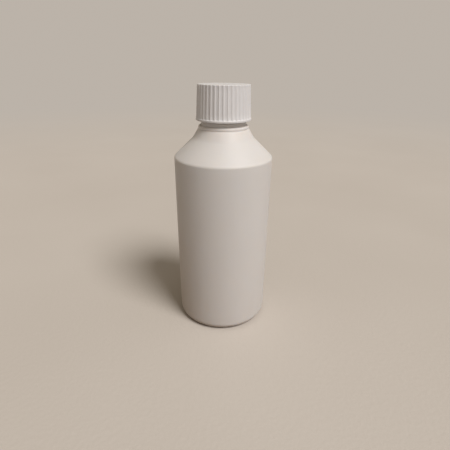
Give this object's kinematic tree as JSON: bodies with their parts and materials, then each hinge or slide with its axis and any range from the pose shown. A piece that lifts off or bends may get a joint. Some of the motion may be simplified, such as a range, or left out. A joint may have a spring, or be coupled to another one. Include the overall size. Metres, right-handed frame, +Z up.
{
  "type": "hdpe plastic bottle",
  "caption": "Round white plastic bottle with a straight body, conical shoulder and ribbed screw cap, for liquids.",
  "frame": {"origin": "centre of the flat ring that the bottle stands on", "axes": "+Z up along the bottle's axis, towards the cap; +X to the right and -Y towards the viewer of the picture, and the weld under the foot runs along X"},
  "size_m": [0.06, 0.06, 0.1524],
  "materials": {
    "bottle_plastic": "satin",
    "cap_plastic": "satin",
    "liner_foam": "matte"
  },
  "bodies": {
    "bottle": {"bottle": "bottle_plastic"},
    "liner": {"liner": "liner_foam"},
    "screw_cap": {"screw_cap": "cap_plastic"}
  },
  "joints": [
    {"name": "cap_lift", "type": "slide", "parent": "bottle", "child": "liner", "axis": [0, 0, 1], "range_m": [0, 0.0212]},
    {"name": "cap_twist", "type": "hinge", "parent": "liner", "child": "screw_cap", "pos_m": [0, 0, 0.1427], "axis": [0, 0, 1], "range_deg": [0, 1800]}
  ],
  "couplings": [
    {"joint": "cap_lift", "follows": "cap_twist", "m_per_rad": 0.0006737}
  ]
}
